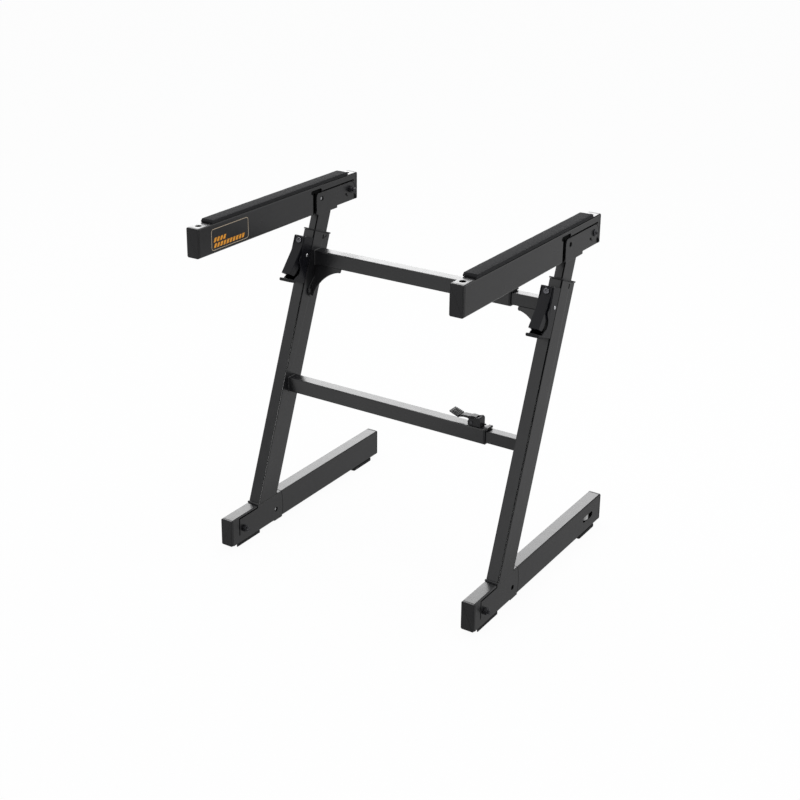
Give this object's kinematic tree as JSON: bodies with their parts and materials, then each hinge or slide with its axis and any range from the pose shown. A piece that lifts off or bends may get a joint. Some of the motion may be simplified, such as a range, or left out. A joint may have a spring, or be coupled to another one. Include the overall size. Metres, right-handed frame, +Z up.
{
  "type": "z keyboard stand",
  "caption": "Folding z-shaped keyboard stand with telescopic legs and crossbars, folding feet and arms, height latches, a width clamp and one levelling foot.",
  "frame": {"origin": "on the floor, under the centre of the stand's box", "axes": "+X along the crossbars to the stand's right, +Y to the rear, +Z up"},
  "size_m": [0.5986, 0.592, 0.6941],
  "materials": {
    "coated_steel": "fine satin black powder coat",
    "latch_steel": "semi-gloss black coat",
    "black_plastic": "fine matte black moulding",
    "black_rubber": "matte black rubber",
    "foam": "closed-cell black foam, soft and matte",
    "black_steel": "blackened steel fasteners",
    "zinc": "bright zinc plate",
    "grey_plastic": "light grey moulding"
  },
  "bodies": {
    "left_frame": {"left_foot_bracket": "coated_steel", "left_foot_bracket_cap": "black_plastic", "left_front_pad_inner": "black_rubber", "left_front_pad_outer": "black_rubber", "left_foot_bolt": "black_steel", "left_foot_nut": "black_steel", "left_leg_tube": "coated_steel", "left_leg_bush": "black_plastic", "left_latch_housing": "latch_steel", "left_gusset": "coated_steel", "lower_outer_bar": "coated_steel", "upper_outer_bar": "coated_steel", "lower_bar_bush": "black_plastic", "upper_bar_bush": "black_plastic", "clamp_body": "black_plastic", "clamp_pad": "zinc"},
    "right_frame": {"right_foot_bracket": "coated_steel", "right_foot_bracket_cap": "black_plastic", "right_front_pad_inner": "black_rubber", "right_front_pad_outer": "black_rubber", "right_foot_bolt": "black_steel", "right_foot_nut": "black_steel", "right_leg_tube": "coated_steel", "right_leg_bush": "black_plastic", "right_latch_housing": "latch_steel", "right_gusset": "coated_steel", "lower_inner_bar": "coated_steel", "upper_inner_bar": "coated_steel"},
    "left_foot": {"left_foot_tube": "coated_steel", "left_foot_end_cap": "black_plastic", "left_rear_pad": "black_rubber"},
    "right_foot": {"right_foot_tube": "coated_steel", "right_foot_end_cap": "black_plastic"},
    "levelling_foot": {"right_levelling_foot": "black_rubber"},
    "level_wheel": {"level_wheel": "grey_plastic"},
    "clamp_lever": {"clamp_lever": "black_plastic"},
    "left_mast": {"left_inner_tube": "coated_steel", "left_arm_bracket": "coated_steel", "left_arm_bolt": "black_steel", "left_arm_nut": "black_steel"},
    "left_arm": {"left_arm_tube": "coated_steel", "left_arm_front_cap": "black_plastic", "left_arm_rear_cap": "black_plastic", "left_arm_pad": "foam"},
    "left_latch_lever": {"left_latch_lever": "latch_steel"},
    "left_latch_pin": {"left_latch_pin": "black_steel"},
    "left_foot_button": {"left_foot_lock_pin": "zinc"},
    "left_arm_button": {"left_arm_lock_pin": "zinc"},
    "right_mast": {"right_inner_tube": "coated_steel", "right_arm_bracket": "coated_steel", "right_arm_bolt": "black_steel", "right_arm_nut": "black_steel"},
    "right_arm": {"right_arm_tube": "coated_steel", "right_arm_front_cap": "black_plastic", "right_arm_rear_cap": "black_plastic", "right_arm_pad": "foam"},
    "right_latch_lever": {"right_latch_lever": "latch_steel"},
    "right_latch_pin": {"right_latch_pin": "black_steel"},
    "right_foot_button": {"right_foot_lock_pin": "zinc"},
    "right_arm_button": {"right_arm_lock_pin": "zinc"}
  },
  "joints": [
    {"name": "width_slide", "type": "slide", "parent": "left_frame", "child": "right_frame", "axis": [1, 0, 0], "range_m": [-0.005, 0.32]},
    {"name": "left_foot_fold", "type": "hinge", "parent": "left_frame", "child": "left_foot", "pos_m": [-0.28125, -0.1883, 0.0324], "axis": [-1, 0, 0], "range_deg": [0, 110]},
    {"name": "left_height_slide", "type": "slide", "parent": "left_frame", "child": "left_mast", "axis": [0, 0.3564, 0.9343], "range_m": [0, 0.24]},
    {"name": "left_arm_fold", "type": "hinge", "parent": "left_mast", "child": "left_arm", "pos_m": [-0.28125, 0.1896, 0.6533], "axis": [-1, 0, 0], "range_deg": [0, 110]},
    {"name": "left_latch_squeeze", "type": "hinge", "parent": "left_frame", "child": "left_latch_lever", "pos_m": [-0.28125, 0.03453, 0.55016], "axis": [1, 0, 0], "range_deg": [0, 10], "stiffness_Nm_per_rad": 1, "springref_deg": -17.19},
    {"name": "left_latch_pin_draw", "type": "slide", "parent": "left_frame", "child": "left_latch_pin", "axis": [0, -0.9343, 0.3564], "range_m": [0, 0.0065]},
    {"name": "left_foot_lock_button", "type": "slide", "parent": "left_foot", "child": "left_foot_button", "axis": [1, 0, 0], "range_m": [0, 0.0024]},
    {"name": "left_arm_lock_button", "type": "slide", "parent": "left_arm", "child": "left_arm_button", "axis": [1, 0, 0], "range_m": [0, 0.0024]},
    {"name": "right_foot_fold", "type": "hinge", "parent": "right_frame", "child": "right_foot", "pos_m": [0.27375, -0.1883, 0.0324], "axis": [-1, 0, 0], "range_deg": [0, 110]},
    {"name": "right_height_slide", "type": "slide", "parent": "right_frame", "child": "right_mast", "axis": [0, 0.3564, 0.9343], "range_m": [0, 0.24]},
    {"name": "right_arm_fold", "type": "hinge", "parent": "right_mast", "child": "right_arm", "pos_m": [0.27375, 0.1896, 0.6533], "axis": [-1, 0, 0], "range_deg": [0, 110]},
    {"name": "right_latch_squeeze", "type": "hinge", "parent": "right_frame", "child": "right_latch_lever", "pos_m": [0.27375, 0.03453, 0.55016], "axis": [1, 0, 0], "range_deg": [0, 10], "stiffness_Nm_per_rad": 1, "springref_deg": -17.19},
    {"name": "right_latch_pin_draw", "type": "slide", "parent": "right_frame", "child": "right_latch_pin", "axis": [0, -0.9343, 0.3564], "range_m": [0, 0.0065]},
    {"name": "right_foot_lock_button", "type": "slide", "parent": "right_foot", "child": "right_foot_button", "axis": [-1, 0, 0], "range_m": [0, 0.0024]},
    {"name": "right_arm_lock_button", "type": "slide", "parent": "right_arm", "child": "right_arm_button", "axis": [-1, 0, 0], "range_m": [0, 0.0024]},
    {"name": "clamp_lever_swing", "type": "hinge", "parent": "left_frame", "child": "clamp_lever", "pos_m": [0.15925, -0.0214, 0.3142], "axis": [0, 1, 0], "range_deg": [0, 75]},
    {"name": "level_wheel_turn", "type": "hinge", "parent": "right_foot", "child": "level_wheel", "pos_m": [0.27375, 0.2375, 0.035], "axis": [0, 0, 1], "range_deg": [0, 1800]},
    {"name": "levelling_foot_lower", "type": "slide", "parent": "right_foot", "child": "levelling_foot", "axis": [0, 0, -1], "range_m": [0, 0.0075]}
  ],
  "couplings": [
    {"joint": "left_latch_pin_draw", "follows": "left_latch_squeeze", "m_per_rad": 0.036},
    {"joint": "right_latch_pin_draw", "follows": "right_latch_squeeze", "m_per_rad": 0.036},
    {"joint": "level_wheel_turn", "follows": "levelling_foot_lower", "rad_per_m": 4188.8}
  ]
}
